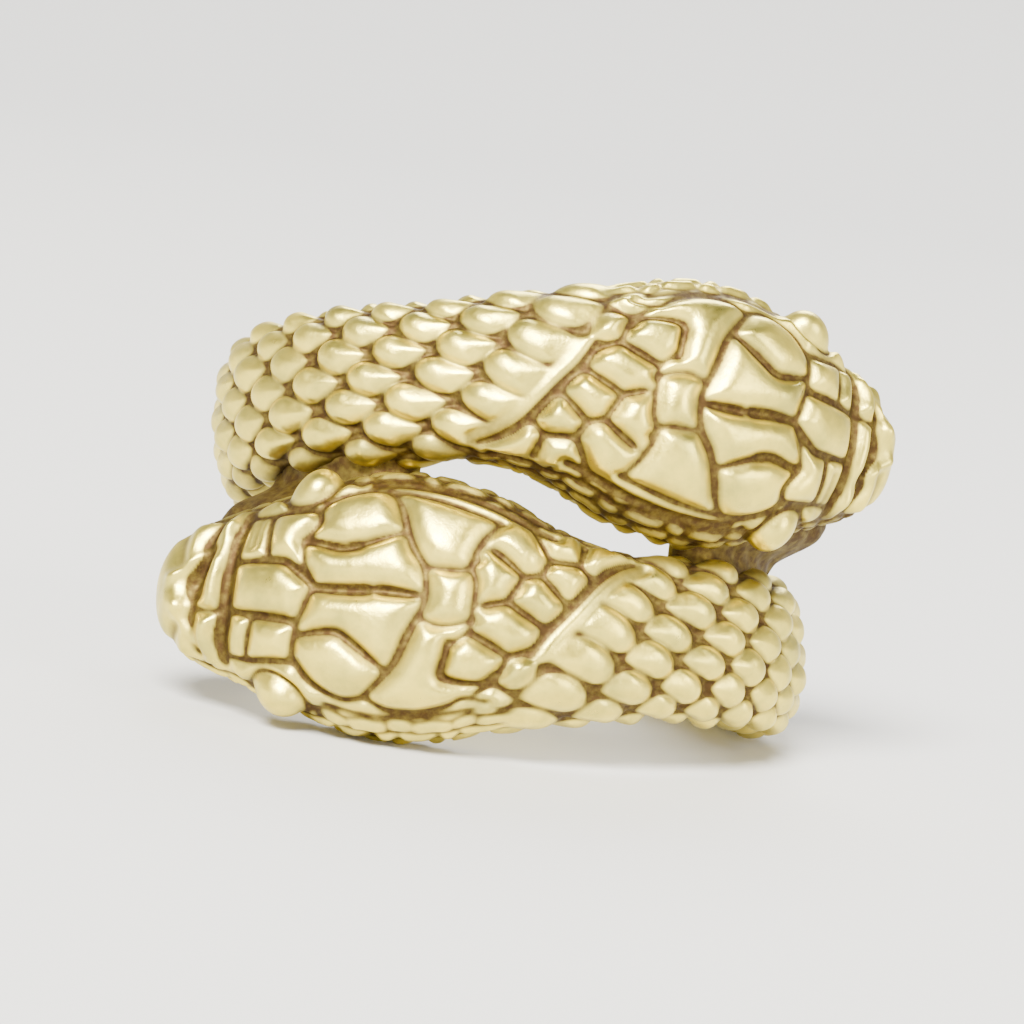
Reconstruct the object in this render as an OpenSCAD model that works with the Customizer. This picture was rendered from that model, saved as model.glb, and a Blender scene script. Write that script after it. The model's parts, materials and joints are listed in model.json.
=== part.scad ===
// Snake wrap ring, cast in one piece. One scaled body goes round the back of the finger and
// ends in two heads that lie side by side and point opposite ways across the front.
// The ring is worked out about its own axis, with its front towards -Y, and then laid down.

/* [Finger hole] */
// Inside diameter of the ring
finger_d = 17.2; // [16:0.1:19]

/* [Body] */
// Width of the body where it runs beside a head
body_w = 5.3; // [5:0.1:5.6]
// Thickness of the body there, without its scales
body_t = 2.3; // [2:0.1:2.8]
// Width of the body behind the finger
back_w = 3.4; // [3:0.1:4.4]
// Thickness of the body behind the finger, without its scales
back_t = 1.6; // [1.4:0.1:2.2]
// Distance from the ring's middle to the middle of each body, along the finger
lane = 4.55; // [4.4:0.05:4.7]
// Angle from the back at which the body has its full width and distance
full_at = 112; // [90:1:130]

/* [Head] */
// Length of a head from the snout to the nape
head_l = 13.4; // [12.8:0.1:14.2]
// Greatest width of a head
head_w = 9.2; // [8.6:0.1:9.6]
// Thickness of a head, without its plates
head_t = 4.0; // [3.6:0.1:4.6]
// Height of the mouth line above the finger hole's wall
mouth_h = 1.0; // [0.8:0.1:1.3]
// Depth of the chin below the mouth line
chin_t = 1.5; // [1.3:0.1:1.7]
// Distance that the crown stands outward of the head's middle
crown_shift = 0.35; // [0:0.05:0.6]
// Radius that the head bends to, looser than the body's
head_bend_r = 22; // [18:1:30]
// Angle past the front at which the head starts to leave the body's circle
head_start = 8; // [4:1:12]

/* [Scales] */
// Length of one body scale
scale_l = 2.3; // [2:0.05:2.5]
// Length of one scale of the neck
neck_scale_l = 2.35; // [2.2:0.05:2.8]
// Length of one scale behind the finger
back_scale_l = 1.67; // [1.5:0.01:2]
// Height of a scale's free end
scale_rise = 0.42; // [0.25:0.01:0.5]
// Height of the head plates above their grooves
plate_rise = 0.3; // [0.15:0.01:0.4]

/* [Eyes] */
// Diameter of an eye
eye_d = 2.2; // [1.8:0.1:2.4]
// Height of an eye above the side of the head
eye_rise = 0.8; // [0.5:0.05:1.1]

/* [Lying down] */
// Angle that the ring leans back when it lies on the floor, its back edge down
lean = -16; // [-19:0.1:-14]
// Angle that it leans sideways
side_lean = -5.6; // [-8:0.1:-4]

/* [Hidden] */
gold = [0.86, 0.74, 0.46];

finger_r = finger_d / 2;
path_r = finger_r + mouth_h;                      // the widest line of every section runs at this radius
mm = path_r * PI / 180;                           // length of one degree of that circle
neck_s = (180 + head_start) * mm;                 // path length from the back to where the head leaves it
end_s = neck_s + head_l;                          // path length from the back to the snout
full_s = full_at * mm;

// Sections of the head: share of head_l behind the snout, shares of head_w, of the crown's and of
// the chin's height above and below the mouth line, and of lane for the middle
at = 0;
wide = 1;
crown = 2;
chin = 3;
middle = 4;
body_wide = body_w / head_w;
body_crown = (body_t - mouth_h) / (head_t - mouth_h);
head_sections = [
    [-0.10, 0.34, 0.30, 0.45, 0.549],
    [0.00, 0.40, 0.42, 0.60, 0.567],
    [0.10, 0.48, 0.54, 0.75, 0.593],
    [0.22, 0.60, 0.68, 0.90, 0.634],
    [0.33, 0.71, 0.82, 1.00, 0.667],
    [0.46, 0.85, 0.94, 1.00, 0.711],
    [0.62, 0.98, 1.00, 1.00, 0.760],
    [0.72, 1.00, 0.99, 1.00, 0.791],
    [0.88, 0.93, 0.91, 1.00, 0.853],
    [1.05, 0.76, 0.76, 1.00, 0.943],
    [1.20, 0.65, 0.60, 1.00, 0.989],
    [1.40, body_wide, body_crown, 1.00, 1.00],
    [1.60, body_wide, body_crown, 1.00, 1.00]
];
head_end = 1.4;  // share of head_l at which the body's own sizes take over
nose_share = 0.16;

// Head plates: share of head_l behind the snout, share of the way from the plates' middle line to
// the mouth line, and whether the plate has a twin on the other side
plates = [
    [0.09, 0.00, false],
    [0.12, 0.42, true],
    [0.245, 0.00, false],
    [0.245, 0.38, true],
    [0.33, 0.36, true],
    [0.385, 0.00, false],
    [0.43, 0.36, true],
    [0.47, 0.00, false],
    [0.585, 0.44, true],
    [0.63, 0.14, true],
    [0.80, 0.41, true],
    [0.845, 0.00, false],
    [0.925, 0.25, true],
    [0.96, 0.47, true],
    [0.975, 0.04, false]
];
plates_in = 0.085; // share of the way that the plates' middle line stands inward of the crown
lip_l = 1.12;      // length of one lip scale
lips = 11;         // lip scales in each row, after the first
lip_rows = [0.72, 0.90, 1.08];
lip_from = 0.7;    // place of a row's first scale
lip_step = 0.4;    // how much nearer the snout the middle row starts
lip_share = 0.7;   // height of a lip scale as a share of a plate's

function ease(x) = let (c = min(max(x, 0), 1)) c * c * (3 - 2 * c);
function mix(a, b, x) = a + (b - a) * x;

// Smooth curve through column c of the head's sections, at share x
function along(c, x, i = 1) =
    x > head_sections[i + 1][at] && i < len(head_sections) - 3 ? along(c, x, i + 1) :
    let (
        t = head_sections,
        h = t[i + 1][at] - t[i][at],
        u = min(max((x - t[i][at]) / h, 0), 1),
        a = t[i][c],
        b = t[i + 1][c],
        m = (b - t[i - 1][c]) / (t[i + 1][at] - t[i - 1][at]) * h,
        n = (t[i + 2][c] - a) / (t[i + 2][at] - t[i][at]) * h
    )
    a + u * (m + u * (3 * (b - a) - 2 * m - n + u * (m + n - 2 * (b - a))));

// The path in plan, by its length s from the back; turn is the angle of the outward normal
leave = 180 + head_start;
function turn(s) = s < neck_s ? s / mm : leave + (s - neck_s) / head_bend_r * 180 / PI;
function outward(s) = [-sin(turn(s)), cos(turn(s)), 0];
function forward(s) = [-cos(turn(s)), -sin(turn(s)), 0];
function plan(s) = s < neck_s ? outward(s) * path_r
                              : [-sin(leave), cos(leave), 0] * (path_r - head_bend_r) + outward(s) * head_bend_r;

function share(s) = (end_s - s) / head_l;
function rise(s) = lane * (share(s) < head_end ? along(middle, share(s)) : sin(min(s / full_s, 1) * 90));
function climb(s) = atan((rise(s + 0.1) - rise(s - 0.1)) / 0.2);

// Half width, height above the mouth line and depth below it, rounded off at the snout
function nose(s) = share(s) >= nose_share ? 1 : sqrt(1 - (1 - max(share(s), 0) / nose_share) ^ 2);
function fullness(s) = ease(s / full_s);
function half_w(s) = nose(s) / 2 * (share(s) < head_end ? along(wide, share(s)) * head_w
                                                        : mix(back_w, body_w, fullness(s)));
function top_h(s) = nose(s) * (share(s) < head_end ? along(crown, share(s)) * (head_t - mouth_h)
                                                   : mix(back_t, body_t, fullness(s)) - mouth_h);
function low_h(s) = nose(s) * (share(s) < head_end ? along(chin, share(s)) : 1) * chin_t;

// A section is squarer than an ellipse. A point of it is named by its angle, 0 at the crown
top_power = 2.4;
low_power = 3;
function reach(a, power) = (abs(sin(a)) ^ power + abs(cos(a)) ^ power) ^ (-1 / power);
function section(s, a) =
    abs(a) <= 90 ? let (r = reach(a, top_power)) [half_w(s) * r * sin(a), top_h(s) * r * cos(a)]
                 : let (r = reach(a, low_power)) [half_w(s) * r * sin(a), low_h(s) * r * cos(a)];
shift_to = 1.35;   // share of head_l at which the crown's shift has died away
shift_over = 0.6;
function lean_to(s) = crown_shift * ease((shift_to - share(s)) / shift_over);
least_size = 0.05; // keeps the way out of a section worked out at the very snout
function lean_out(s, a) =
    let (n = [sin(a) / max(half_w(s), least_size), cos(a) / max(top_h(s), least_size)]) n / norm(n);

// Angles by girth: 0 at the crown, 1 at the mouth line and 2 under the chin, by the length of the arc
arc_steps = 12;
function arc(s, from, i = 0, l = 0) =
    i > arc_steps ? [] :
    let (
        a = from + 90 / arc_steps * i,
        d = i == 0 ? 0 : norm(section(s, a) - section(s, a - 90 / arc_steps))
    )
    concat([[l + d, a]], arc(s, from, i + 1, l + d));
function angle_at(arcs, w) =
    let (t = arcs[abs(w) <= 1 ? 0 : 1], g = abs(w) <= 1 ? abs(w) : abs(w) - 1)
    sign(w) * lookup(g * t[arc_steps][0], t);

// Body scales: rows staggered by half a scale, each scale low towards the head and lifted at its tail
rows = 3.6;   // rows of scales from the crown to the mouth line
function one_scale(dp, dq, tilt) = let (r = 2 * abs(dp) + abs(dq)) r < 1 ? (1 - r * r) * (1 - 1.2 * dp * tilt) : 0;
function row_scale(p, q, n, tilt) =
    let (c = ((n % 2) + 2) % 2 / 2, m = round(p - c) + c)
    one_scale(p - m, q - n - 0.5, tilt);
function scales(p, q, tilt) = max([for (n = [floor(q) - 1 : floor(q) + 1]) row_scale(p, q, n, tilt)]);

// One row runs along the crown
function row_at(w) = w * rows + 0.5;
function girth_at(row) = (row - 0.5) / rows;

// Path length and scale phase of the body's sections, four to a scale
neck_from = 6;     // path length before the head's start at which the scales begin to lengthen
neck_over = 2;
body_end = 1.16;   // share of head_l at which the body's rows give way to the head's plates
function pitch(s) = s < full_s ? mix(back_scale_l, scale_l, fullness(s))
                               : mix(scale_l, neck_scale_l, ease((s - neck_s + neck_from) / neck_over));
body_marks = [for (s = 0, i = 0; share(s) > body_end; s = s + pitch(s) / 4, i = i + 1) [s, i / 4]];
last = body_marks[len(body_marks) - 1];

// The body's rows carried on by a few more scales, so that plates and scales meet without a seam
plates_end = 1.0;  // share of head_l behind which the carried scales stand
function carried(n, k) =
    let (p = floor(last[1]) + k + (abs(n) % 2) / 2) end_s - last[0] - (p - last[1]) * neck_scale_l;

// Head plates: cells round the seeds of the table and of the rows of lip scales
bevel_w = 0.4;     // width of the bevel along a plate's edge
girth = 5;         // length taken for the way from the crown to the mouth line, when plates are laid out
seeds = [
    for (k = [-1, 1], p = plates) if (k > 0 || p[2]) [p[0] * head_l, (k * p[1] - plates_in) * girth, 1],
    for (k = [-1, 1], r = [0 : 2], i = [0 : lips])
        [lip_from - lip_step * (r % 2) + i * lip_l, k * lip_rows[r] * girth, lip_share],
    for (n = [-4 : 4], k = [-1 : 1]) let (t = carried(n, k))
        if (t > plates_end * head_l) [t, girth_at(n + 0.5) * girth, 1]
];
near_by = 5;       // seeds further than this from a cell's own can't border it
function dist2(a, b) = (a[0] - b[0]) ^ 2 + (a[1] - b[1]) ^ 2;
function border(g, a, b) = (dist2(g, b) - dist2(g, a)) / 2 / sqrt(dist2(a, b));
function nearest(g) =
    let (d = [for (x = seeds) dist2(g, x)], least = min(d))
    [for (i = [0 : len(d) - 1]) if (d[i] == least) i][0];
// Distance to the cell's border, the way to it, and the share of a plate's height that the cell has
function cell(g) =
    let (
        a = seeds[nearest(g)],
        b = [for (x = seeds) if (x != a && dist2(x, a) < near_by ^ 2) [border(g, a, x), x]],
        least = min([for (x = b) x[0]]),
        x = [for (y = b) if (y[0] == least) y[1]][0],
        way = [x[0] - a[0], x[1] - a[1]]
    )
    [least, way / norm(way), a[2]];

// The finished skin at path length s and girth w, raised by h
belly = 1.3;       // beyond this girth the casting is plain
eye_at = 0.425;    // share of head_l behind the snout
eye_girth = 0.80;
function eye(s, w) =
    let (d = norm([end_s - s - eye_at * head_l, (abs(w) - eye_girth) * girth]) / (eye_d / 2))
    d < 1 ? eye_rise * (1 - d * d) : 0;
function scale_height(s, p, w) =
    scale_rise * scales(p, row_at(w), ease(s / back_scale_l)) * mix(back_w / body_w, 1, fullness(s));
function skin(s, arcs, w, h) =
    let (
        a = angle_at(arcs, w),
        f = section(s, a),
        g = f + (h * nose(s) + eye(s, w)) * lean_out(s, a),
        c = climb(s),
        b = -forward(s) * sin(c) + [0, 0, cos(c)],
        shift = abs(w) < 1 ? lean_to(s) * f[1] / max(top_h(s), 0.01) * nose(s) : 0
    )
    plan(s) + [0, 0, rise(s)] + outward(s) * g[1] + b * (g[0] + shift);

// Girths of the points round a section, two to a row of scales and four on the head
first_row = -4;
last_row = 5;
under = [1.6, 2, -1.6];
function girths(each_row) = concat([for (row = [first_row : 1 / each_row : last_row]) girth_at(row)], under);
grid = head_l * 0.031;  // spacing of the head's sections

// A ring of points is a list of [point, height], the height being what the diagonals are chosen by
function arcs_at(s) = [arc(s, 0), arc(s, 90)];
function body_point(s, p, w, arcs) = let (h = abs(w) > belly ? 0 : scale_height(s, p, w)) [skin(s, arcs, w, h), h];
function body_ring(s, p) = let (arcs = arcs_at(s)) [for (w = girths(2)) body_point(s, p, w, arcs)];

// A point of the head's grid near a plate's border is moved onto it, so that grooves stay narrow.
// It moves by less than half the way to its neighbour, so that no two points fall together
snap = 0.48 * girth / rows / 4;
function head_point(s, w, arcs) =
    abs(w) > belly ? [skin(s, arcs, w, 0), 0] :
    let (
        c = cell([end_s - s, w * girth]),
        near = c[0] < snap,
        step = near && abs(w) < 1.2 && share(s) > 0.05 ? c[0] : 0,
        h = near ? 0 : plate_rise * c[2] * ease(c[0] / bevel_w)
    )
    [skin(s - c[1][0] * step, arcs, w + c[1][1] * step / girth, h), h];
function head_ring(s) = let (arcs = arcs_at(s)) [for (w = girths(4)) head_point(s, w, arcs)];

// Every section from the back to the snout
head_marks = [for (s = last[0] + grid; share(s) > nose_share; s = s + grid) s];
nose_marks = [for (a = [90 : -15 : 10]) end_s - nose_share * head_l * (1 - cos(a))];
upper_half = concat([for (x = body_marks) body_ring(x[0], x[1])],
                    [for (s = concat(head_marks, nose_marks)) head_ring(s)]);

// The other half is the same turned half round about the front's own axis
function turned(p) = [-p[0], p[1], -p[2]];
function turned_ring(r) =
    let (n = len(r), top = n - len(under) - 1)
    [for (i = [0 : n - 1]) let (x = r[(top - i + n) % n]) [turned(x[0]), x[1]]];
chain = concat([for (j = [len(upper_half) - 1 : -1 : 1]) turned_ring(upper_half[j])], upper_half);

function walls(a, b, from, to) =
    let (n = len(a))
    [for (i = [0 : n - 1])
        let (k = (i + 1) % n, straight = a[i][1] + b[k][1] < a[k][1] + b[i][1])
        each straight ? [[from + i, from + k, to + k], [from + i, to + k, to + i]]
                      : [[from + i, from + k, to + i], [from + k, to + k, to + i]]];

// Walls between a ring of n points and one with twice as many along its top
function twice(i, n) = let (top = n - len(under) - 1) i <= top ? 2 * i : top + i;
function widening(n, from, to, flip) =
    [for (i = [0 : n - 1])
        let (k = (i + 1) % n, x = twice(i, n), y = k == 0 ? 0 : twice(k, n), z = x + 1)
        each y - x == 2 ? [sided(from + i, from + k, to + z, flip), sided(from + i, to + z, to + x, flip),
                           sided(from + k, to + y, to + z, flip)]
                        : [sided(from + i, from + k, to + y, flip), sided(from + i, to + y, to + x, flip)]];
function sided(a, b, c, flip) = flip ? [a, c, b] : [a, b, c];

module loft(r, first, final) {
    counts = [for (x = r) len(x)];
    starts = [for (i = 0, n = 0; i < len(counts); n = n + counts[i], i = i + 1) n];
    ends = len(r) - 1;
    total = starts[ends] + counts[ends];
    skin_faces = [for (j = [0 : ends - 1])
        each counts[j] == counts[j + 1] ? walls(r[j], r[j + 1], starts[j], starts[j + 1]) :
             counts[j] < counts[j + 1] ? widening(counts[j], starts[j], starts[j + 1], false) :
                                         widening(counts[j + 1], starts[j + 1], starts[j], true)];
    n = counts[0];
    tips = [for (i = [0 : n - 1]) let (k = (i + 1) % n)
        each [[total, k, i], [total + 1, starts[ends] + i, starts[ends] + k]]];
    points = concat([for (x = r) each [for (y = x) y[0]]], [first, final]);
    polyhedron(points, concat(skin_faces, tips), convexity = 10);
}

// Web of metal between a head and the body beside it: angle from the front, then heights above the
// finger hole's wall, as shares of head_t, beside the body, in the hollow and beside the head
web_sections = [
    [30, 0.34, 0.24, 0.30],
    [36, 0.38, 0.32, 0.40],
    [44, 0.40, 0.36, 0.52],
    [53, 0.40, 0.38, 0.66],
    [62, 0.38, 0.40, 0.80],
    [69, 0.32, 0.40, 0.86],
    [74, 0.28, 0.34, 0.70]
];
web_low = -0.66;   // shares of lane at which the web ends inside the body and inside the head
web_high = 0.2;
function web_ring(x) =
    [for (y = [[-0.15, web_low], [x[1] - 0.1, web_low], [x[1], -0.52], [x[2], -0.3], [x[3], -0.06],
               [x[3], web_high], [-0.15, web_high]])
        let (r = finger_r + y[0] * head_t) [[r * sin(x[0]), -r * cos(x[0]), y[1] * lane], 0]];
function centre_of(r) = [for (k = [0 : 2]) [for (x = r) x[0][k]] * [for (x = r) 1 / len(r)]];
module web() {
    r = [for (x = web_sections) web_ring(x)];
    loft(r, centre_of(r[0]), centre_of(r[len(r) - 1]));
}

// The ring laid down: leant back, then sideways, with its lowest point on the floor
function leant(p) = let (q = [p[0], p[1] * cos(lean) - p[2] * sin(lean), p[1] * sin(lean) + p[2] * cos(lean)])
    [q[0] * cos(side_lean) + q[2] * sin(side_lean), q[1], -q[0] * sin(side_lean) + q[2] * cos(side_lean)];
spots = [for (r = chain) each [for (x = r) leant(x[0])]];
function least(k) = min([for (x = spots) x[k]]);
function most(k) = max([for (x = spots) x[k]]);
place = [-(least(0) + most(0)) / 2, -(least(1) + most(1)) / 2, -least(2)];

through = 40;      // the finger hole's cut runs well past both sides
module snake_ring() {
    tip = plan(end_s) + [0, 0, rise(end_s)];
    color(gold) translate(place) rotate([lean, side_lean, 0]) difference() {
        union() {
            loft(chain, turned(tip), tip);
            web();
            rotate([0, 180, 0]) web();
        }
        translate([0, 0, -through / 2]) cylinder(h = through, r = finger_r, $fn = 96);
    }
}

snake_ring();
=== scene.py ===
import json
import math
import bpy
import numpy as np
from mathutils import Matrix, Vector


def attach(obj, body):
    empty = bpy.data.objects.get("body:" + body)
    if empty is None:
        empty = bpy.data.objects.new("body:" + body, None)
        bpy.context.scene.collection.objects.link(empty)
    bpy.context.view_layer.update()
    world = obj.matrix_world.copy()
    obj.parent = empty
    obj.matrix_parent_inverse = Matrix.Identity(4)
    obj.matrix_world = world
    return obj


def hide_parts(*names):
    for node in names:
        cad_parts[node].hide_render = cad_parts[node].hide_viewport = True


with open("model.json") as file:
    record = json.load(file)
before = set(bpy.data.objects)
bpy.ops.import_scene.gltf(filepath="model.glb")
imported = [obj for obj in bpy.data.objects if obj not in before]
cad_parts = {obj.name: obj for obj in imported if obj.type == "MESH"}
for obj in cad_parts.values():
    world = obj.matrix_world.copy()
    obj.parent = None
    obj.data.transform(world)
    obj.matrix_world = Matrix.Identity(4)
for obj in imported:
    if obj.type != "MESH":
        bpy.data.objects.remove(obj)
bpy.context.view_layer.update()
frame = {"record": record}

deg = math.pi / 180
toMetres = 0.001
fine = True

# How the ring lies: its own axis and middle, from the record's finger hole
finger = frame["record"]["mounts"][0]
middle = np.array(finger["pos_m"])
lean = -math.asin(finger["axis"][1])
sideLean = math.atan2(finger["axis"][0], finger["axis"][2])
laidDown = np.array(Matrix.Rotation(sideLean, 3, "Y") @ Matrix.Rotation(lean, 3, "X"))


def toRoom(points):
    # from the ring's own millimetres to the room's metres, and flat where it would go below the floor
    room = points @ laidDown.T * toMetres + middle
    return np.concatenate([room[..., :2], np.maximum(room[..., 2:], 0)], -1)


# Sizes in millimetres, about the ring's own axis with its front towards -Y
ring = {
    "fingerD": 2 * finger["dims"]["r_mm"],  # inside diameter
    "bodyW": 5.3, "bodyT": 2.3,      # body beside a head, without its scales
    "backW": 3.4, "backT": 1.6,      # body behind the finger
    "lane": 4.55,        # from the ring's middle to the middle of each body
    "fullAt": 112,       # angle from the back where the body is full
    "softEdge": 0.08,    # rounding of the finger hole's edge
}
head = {
    "length": 13.4, "width": 9.2, "thick": 4.0,
    "mouthH": 1.0,       # mouth line above the finger hole's wall
    "chinT": 1.5,        # below the mouth line
    "crownShift": 0.35,  # the crown stands a little outward
    "shiftFrom": 1.35, "shiftOver": 0.6,   # from here to the snout, in shares of the length
    "bendR": 22,         # the head bends less than the body
    "startAt": 8,        # angle past the front where it leaves the finger
    "noseShare": 0.16,   # share of the length that rounds off to the snout
}

fingerR = ring["fingerD"] / 2
pathR = fingerR + head["mouthH"]
leaveAt = (180 + head["startAt"]) * deg
neckS = pathR * leaveAt
endS = neckS + head["length"]
fullS = pathR * ring["fullAt"] * deg

# share of the head's length behind the snout, then shares of its width, of the crown's and the
# chin's height off the mouth line, and of the lane
bodyWide = ring["bodyW"] / head["width"]
bodyCrown = (ring["bodyT"] - head["mouthH"]) / (head["thick"] - head["mouthH"])
headSections = np.array([
    [-0.10, 0.34, 0.30, 0.45, 0.549],
    [0.00, 0.40, 0.42, 0.60, 0.567],
    [0.10, 0.48, 0.54, 0.75, 0.593],
    [0.22, 0.60, 0.68, 0.90, 0.634],
    [0.33, 0.71, 0.82, 1.00, 0.667],
    [0.46, 0.85, 0.94, 1.00, 0.711],
    [0.62, 0.98, 1.00, 1.00, 0.760],
    [0.72, 1.00, 0.99, 1.00, 0.791],
    [0.88, 0.93, 0.91, 1.00, 0.853],
    [1.05, 0.76, 0.76, 1.00, 0.943],
    [1.20, 0.65, 0.60, 1.00, 0.989],
    [1.40, bodyWide, bodyCrown, 1.00, 1.00],
    [1.60, bodyWide, bodyCrown, 1.00, 1.00],
])
headEnd = 1.4
napeAt = 1.16            # share at which the head's plates give way to the body's scales


def ease(x):
    c = np.clip(x, 0, 1)
    return c * c * (3 - 2 * c)


def mix(a, b, x):
    return a + (b - a) * x


def curved(a, b, m, n, u):
    # from a to b, with the slopes m and n at its ends
    return a + u * (m + u * (3 * (b - a) - 2 * m - n + u * (m + n - 2 * (b - a))))


def along(column, x):
    # smooth curve through one column of the head's sections
    xs, ys = headSections[:, 0], headSections[:, column]
    i = np.clip(np.searchsorted(xs, x, side="right") - 1, 1, len(xs) - 3)
    h = xs[i + 1] - xs[i]
    u = np.clip((x - xs[i]) / h, 0, 1)
    m = (ys[i + 1] - ys[i - 1]) / (xs[i + 1] - xs[i - 1]) * h
    n = (ys[i + 2] - ys[i]) / (xs[i + 2] - xs[i]) * h
    return curved(ys[i], ys[i + 1], m, n, u)


# the path, by its length s from the back of the finger
def share(s):
    return (endS - s) / head["length"]


def turn(s):
    return np.where(s < neckS, s / pathR, leaveAt + (s - neckS) / head["bendR"])


def outward(s):
    return np.stack([-np.sin(turn(s)), np.cos(turn(s)), 0 * s], -1)


def forward(s):
    return np.stack([-np.cos(turn(s)), -np.sin(turn(s)), 0 * s], -1)


def plan(s):
    bend = head["bendR"]
    atNeck = np.array([-math.sin(leaveAt), math.cos(leaveAt), 0])
    return np.where((s < neckS)[..., None], outward(s) * pathR, atNeck * (pathR - bend) + outward(s) * bend)


def rise(s):
    onBody = np.sin(np.clip(s / fullS, -1, 1) * math.pi / 2)
    return ring["lane"] * np.where(share(s) < headEnd, along(4, share(s)), onBody)


def nose(s):
    x = np.maximum(share(s), 0) / head["noseShare"]
    return np.where(x >= 1, 1, np.sqrt(np.clip(1 - (1 - x) ** 2, 0, 1)))


def fullness(s):
    return ease(np.abs(s) / fullS)


def onHead(s):
    return share(s) < headEnd


def halfW(s):
    return nose(s) / 2 * np.where(onHead(s), along(1, share(s)) * head["width"],
                                  mix(ring["backW"], ring["bodyW"], fullness(s)))


def topH(s):
    return nose(s) * np.where(onHead(s), along(2, share(s)) * (head["thick"] - head["mouthH"]),
                              mix(ring["backT"], ring["bodyT"], fullness(s)) - head["mouthH"])


def lowH(s):
    return nose(s) * np.where(onHead(s), along(3, share(s)), 1) * head["chinT"]


topPower, lowPower = 2.4, 3.0   # how square a section is above and below the mouth line
arcSteps = 41                   # points along a quarter of it


def reach(a, power):
    return (np.abs(np.sin(a)) ** power + np.abs(np.cos(a)) ** power) ** (-1 / power)


def sectionAngles(s, w):
    # angle of each girth w round each section: 0 crown, 1 mouth line, 2 under the chin
    steps = np.linspace(0, math.pi / 2, arcSteps)
    out = np.zeros((len(s), len(w)))
    g = np.abs(w)
    for i in range(len(s)):
        curves = []
        for power, low in ((topPower, topH(s[i:i + 1])[0]), (lowPower, lowH(s[i:i + 1])[0])):
            a = steps if power == topPower else steps + math.pi / 2
            r = reach(a, power)
            x, y = halfW(s[i:i + 1])[0] * r * np.sin(a), low * r * np.cos(a)
            length = np.concatenate([[0], np.cumsum(np.hypot(np.diff(x), np.diff(y)))])
            length = length + 1e-9 * np.arange(arcSteps)   # always rising
            curves.append((length / length[-1], a))
        out[i] = np.where(g <= 1, np.interp(g, *curves[0]), np.interp(g - 1, *curves[1])) * np.sign(w)
    return out


def pushOut(p):
    # nothing stands inside the finger hole, whose edge is rounded
    r = np.hypot(p[..., 0], p[..., 1])
    half = (r - fingerR) / 2
    clear = (r + fingerR) / 2 + np.sqrt(half ** 2 + ring["softEdge"] ** 2)
    return np.concatenate([p[..., :2] * (clear / r)[..., None], p[..., 2:]], -1)


def skinPoints(s, w, h):
    # points of the snake's skin, raised by h
    least, tiny = 0.05, 0.01   # so that nothing is divided by zero where the snout closes
    step = 0.1                 # along the path, to find its slope
    a = sectionAngles(s, w)
    wide, top, low, end = (f(s)[:, None] for f in (halfW, topH, lowH, nose))
    above = np.abs(a) <= math.pi / 2
    r = np.where(above, reach(a, topPower), reach(a, lowPower))
    x, y = wide * r * np.sin(a), np.where(above, top, low) * r * np.cos(a)
    n = np.stack([np.sin(a) / np.maximum(wide, least), np.cos(a) / np.maximum(top, least)], -1)
    n /= np.linalg.norm(n, axis=-1, keepdims=True)
    shift = head["crownShift"] * ease((head["shiftFrom"] - share(s)) / head["shiftOver"])[:, None]
    shift = shift * y / np.maximum(top, tiny) * end
    x = x + h * n[..., 0] + np.where(above, shift, 0)
    y = y + h * n[..., 1]
    c = np.arctan((rise(s + step) - rise(s - step)) / (2 * step))[:, None]
    up = np.array([0, 0, 1.0])
    across = -forward(s) * np.sin(c) + up * np.cos(c)
    p = (plan(s) + up * rise(s)[:, None])[:, None, :]
    p = p + outward(s)[:, None, :] * y[..., None] + across[:, None, :] * x[..., None]
    return pushOut(p)


# Body scales: rows staggered by half a scale, each low towards the head and lifted at its tail
scales = {
    "length": 2.3, "neckLength": 2.35, "backLength": 1.67,
    "neckBefore": 6, "neckOver": 2,           # the neck's length begins so far before the head
    "rows": 3.6,         # from the crown to the mouth line
    "rise": 0.50,
    "flatter": 0.8,      # share of the rise left on the neck
    "flatFrom": 22, "flatOver": 8,            # path length where that begins
    "tailLength": 0.42, "headLength": 0.55,   # shares of the length
    "tailOutline": 2.0, "headOutline": 1.3,   # 2 is round, less is more pointed
    "halfWidth": 0.80,   # share of a row
    "tailPower": 2.8, "headPower": 1.7,       # how flat the top is towards each end
    "lift": 0.45,        # how much higher the tail end is than the middle
    "headDrop": 0.9,     # and how much lower the other end, as a share of that
    "lowered": 0.35,     # share of the lift taken off the whole scale
    "valley": 0.45,      # slope of the valley between scales
    "creaseAt": 0.25, "creaseDepth": 0.10,    # the deepest line, where two scales meet
    # hand finished, so no two are quite the same in height, place and width
    "uneven": 0.14, "unevenPlace": 0.04, "unevenWidth": 0.06,
    "skew": 1.55,        # the rows run slantwise near the neck
    "skewAbout": -0.09,  # about this girth
    "skewFrom": 19, "skewOver": 9, "skewMost": 1.2,   # path length where that begins
}
marksPerScale = 4


def pitch(s):
    if s < fullS:
        return mix(scales["backLength"], scales["length"], fullness(s))
    onNeck = ease((s - neckS + scales["neckBefore"]) / scales["neckOver"])
    return mix(scales["length"], scales["neckLength"], onNeck)


def bodyMarks():
    # pairs of a path length and the count of scales up to there
    found, s, i = [], 0.0, 0
    while share(s) > napeAt:
        found.append((s, i / marksPerScale))
        s += pitch(s) / marksPerScale
        i += 1
    return np.array(found)


marks = bodyMarks()
lastS, lastPhase = marks[-1]


def phase(s):
    beyond = lastPhase + (s - lastS) / scales["neckLength"]
    return np.where(s > lastS, beyond, np.interp(s, marks[:, 0], marks[:, 1]))


def scatter(m, n, salt):
    # the same uneven value from -1 to 1 each time for one scale; the numbers only have to be uneven
    v = np.sin(m * 12.9898 + n * 78.233 + salt * 37.719) * 43758.5453
    return (v - np.floor(v)) * 2 - 1


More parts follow.
